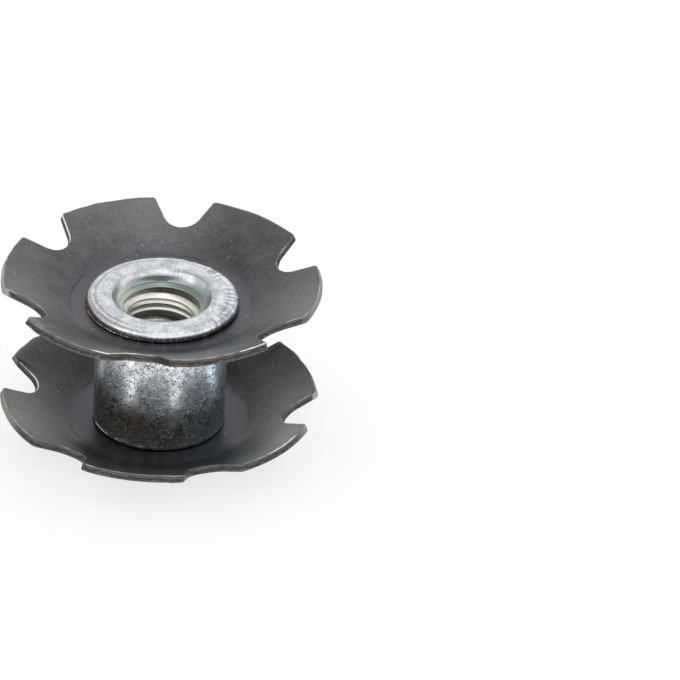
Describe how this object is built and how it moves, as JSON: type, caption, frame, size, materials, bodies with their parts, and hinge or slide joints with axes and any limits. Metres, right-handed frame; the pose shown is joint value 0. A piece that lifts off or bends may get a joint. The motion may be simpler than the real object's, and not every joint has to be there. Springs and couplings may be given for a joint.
{
  "type": "star nut",
  "caption": "Star nut for a steerer tube: a threaded sleeve with a dished, notched spring steel washer riveted to each end, cupped towards the bolt.",
  "frame": {"origin": "on the bore axis, in the flat face of the clinched end that the nut stands on", "axes": "+Z along the bore towards the rolled flange, where the bolt enters; +X through the middle of a notch in the upper washer"},
  "size_m": [0.0234, 0.0234, 0.0132],
  "materials": {
    "zinc_plated_steel": "bright zinc plate, dulled and stained",
    "blued_spring_steel": "dark satin, heat treated and oiled, bright on the sheared edges"
  },
  "bodies": {
    "root": {"sleeve": "zinc_plated_steel", "upper_star_washer": "blued_spring_steel", "lower_star_washer": "blued_spring_steel"}
  },
  "joints": []
}
